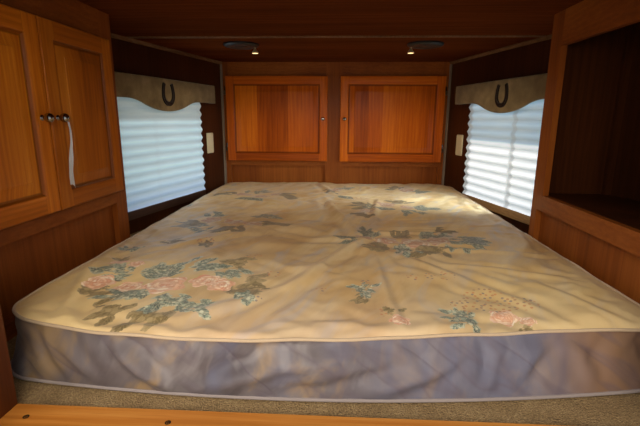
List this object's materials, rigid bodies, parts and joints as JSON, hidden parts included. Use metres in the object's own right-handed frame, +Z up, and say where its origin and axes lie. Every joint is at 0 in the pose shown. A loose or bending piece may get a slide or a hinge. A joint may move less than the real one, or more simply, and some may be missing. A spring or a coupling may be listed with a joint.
{
  "type": "horse trailer gooseneck sleeping berth",
  "caption": "Sleeping berth over the hitch of a gooseneck horse trailer: walls, deck, roof, cabinets with hinged doors, windows with pleated shades, and a mattress.",
  "frame": {"origin": "under the middle of the deck, on the surface it stands on", "axes": "+X to the right seen from the rear doorway, +Y towards the nose, +Z up"},
  "size_m": [2.13, 2.44, 1.005],
  "materials": {
    "frame_aluminium": "mill-finish extrusion, faint drawing lines",
    "shell_white": "white gloss skin outside, dark wood panel inside",
    "deck_panel": "plywood-faced sandwich floor",
    "carpet_pile": "beige cut-pile carpet",
    "nosing_wood": "orange-brown varnished sill",
    "cabinet_wood": "red-brown cherry-stained hardwood, satin varnish",
    "frame_wood": "darker stained face frame, satin varnish",
    "panel_wood": "dark wood-grain panel, low sheen",
    "trim_wood": "light wood trim strip",
    "window_metal": "satin anodised window frame",
    "window_glass": "tinted safety glass",
    "shade_cloth": "translucent pleated polyester",
    "shade_rail": "pale rail",
    "valance_suede": "tan brushed suede cloth over board",
    "iron": "dark brown forged iron",
    "lamp_black": "black satin enamel",
    "lamp_head": "small metal lamp with a warm lens",
    "plate_ivory": "ivory moulded plate",
    "knob_nickel": "polished nickel knob, steel hinge knuckles",
    "hinge_steel": "bronzed steel hinge",
    "mattress_ticking": "cream damask ticking with flower clusters"
  },
  "bodies": {
    "berth": {"deck_frame": "frame_aluminium", "deck_board": "deck_panel", "underside_skin": "frame_aluminium", "carpet": "carpet_pile", "deck_nosing": "nosing_wood", "side_wall_left": "shell_white", "side_wall_right": "shell_white", "nose_wall": "shell_white", "corner_posts": "frame_aluminium", "roof_rail": "frame_aluminium", "roof": "shell_white", "ceiling_front": "panel_wood", "ceiling_rear": "panel_wood", "ceiling_trims": "trim_wood", "corner_trims": "trim_wood", "bulkhead_left": "panel_wood", "bulkhead_right": "panel_wood", "bulkhead_header": "panel_wood", "front_frame": "frame_wood", "front_shelf": "panel_wood", "lower_panels": "panel_wood", "wardrobe_frame": "frame_wood", "wardrobe_carcass": "panel_wood", "cubby_frame": "frame_wood", "cubby_carcass": "panel_wood", "hinge_pins": "hinge_steel", "window_frames": "window_metal", "window_glass": "window_glass", "shades": "shade_cloth", "shade_rails": "shade_rail", "valances": "valance_suede", "horseshoes": "iron", "ceiling_lights": "lamp_black", "lamp_heads": "lamp_head", "wall_plates": "plate_ivory", "mattress": "mattress_ticking"},
    "front_left": {"front_door_left": "cabinet_wood", "front_fittings_left": "knob_nickel"},
    "front_right": {"front_door_right": "cabinet_wood", "front_fittings_right": "knob_nickel"},
    "wardrobe_near": {"wardrobe_door_near": "cabinet_wood", "wardrobe_fittings_near": "knob_nickel"},
    "wardrobe_far": {"wardrobe_door_far": "cabinet_wood", "wardrobe_fittings_far": "knob_nickel"}
  },
  "joints": [
    {"name": "front_door_left_hinge", "type": "hinge", "parent": "berth", "child": "front_left", "pos_m": [-0.6625, 0.858, 0.352], "axis": [0, 0, -1], "range_deg": [0, 85]},
    {"name": "front_door_right_hinge", "type": "hinge", "parent": "berth", "child": "front_right", "pos_m": [0.6625, 0.858, 0.352], "axis": [0, 0, 1], "range_deg": [0, 85]},
    {"name": "wardrobe_door_near_hinge", "type": "hinge", "parent": "berth", "child": "wardrobe_near", "pos_m": [-0.713, -1.0275, 0.367], "axis": [0, 0, -1], "range_deg": [0, 95]},
    {"name": "wardrobe_door_far_hinge", "type": "hinge", "parent": "berth", "child": "wardrobe_far", "pos_m": [-0.713, -0.3585, 0.367], "axis": [0, 0, 1], "range_deg": [0, 95]}
  ]
}
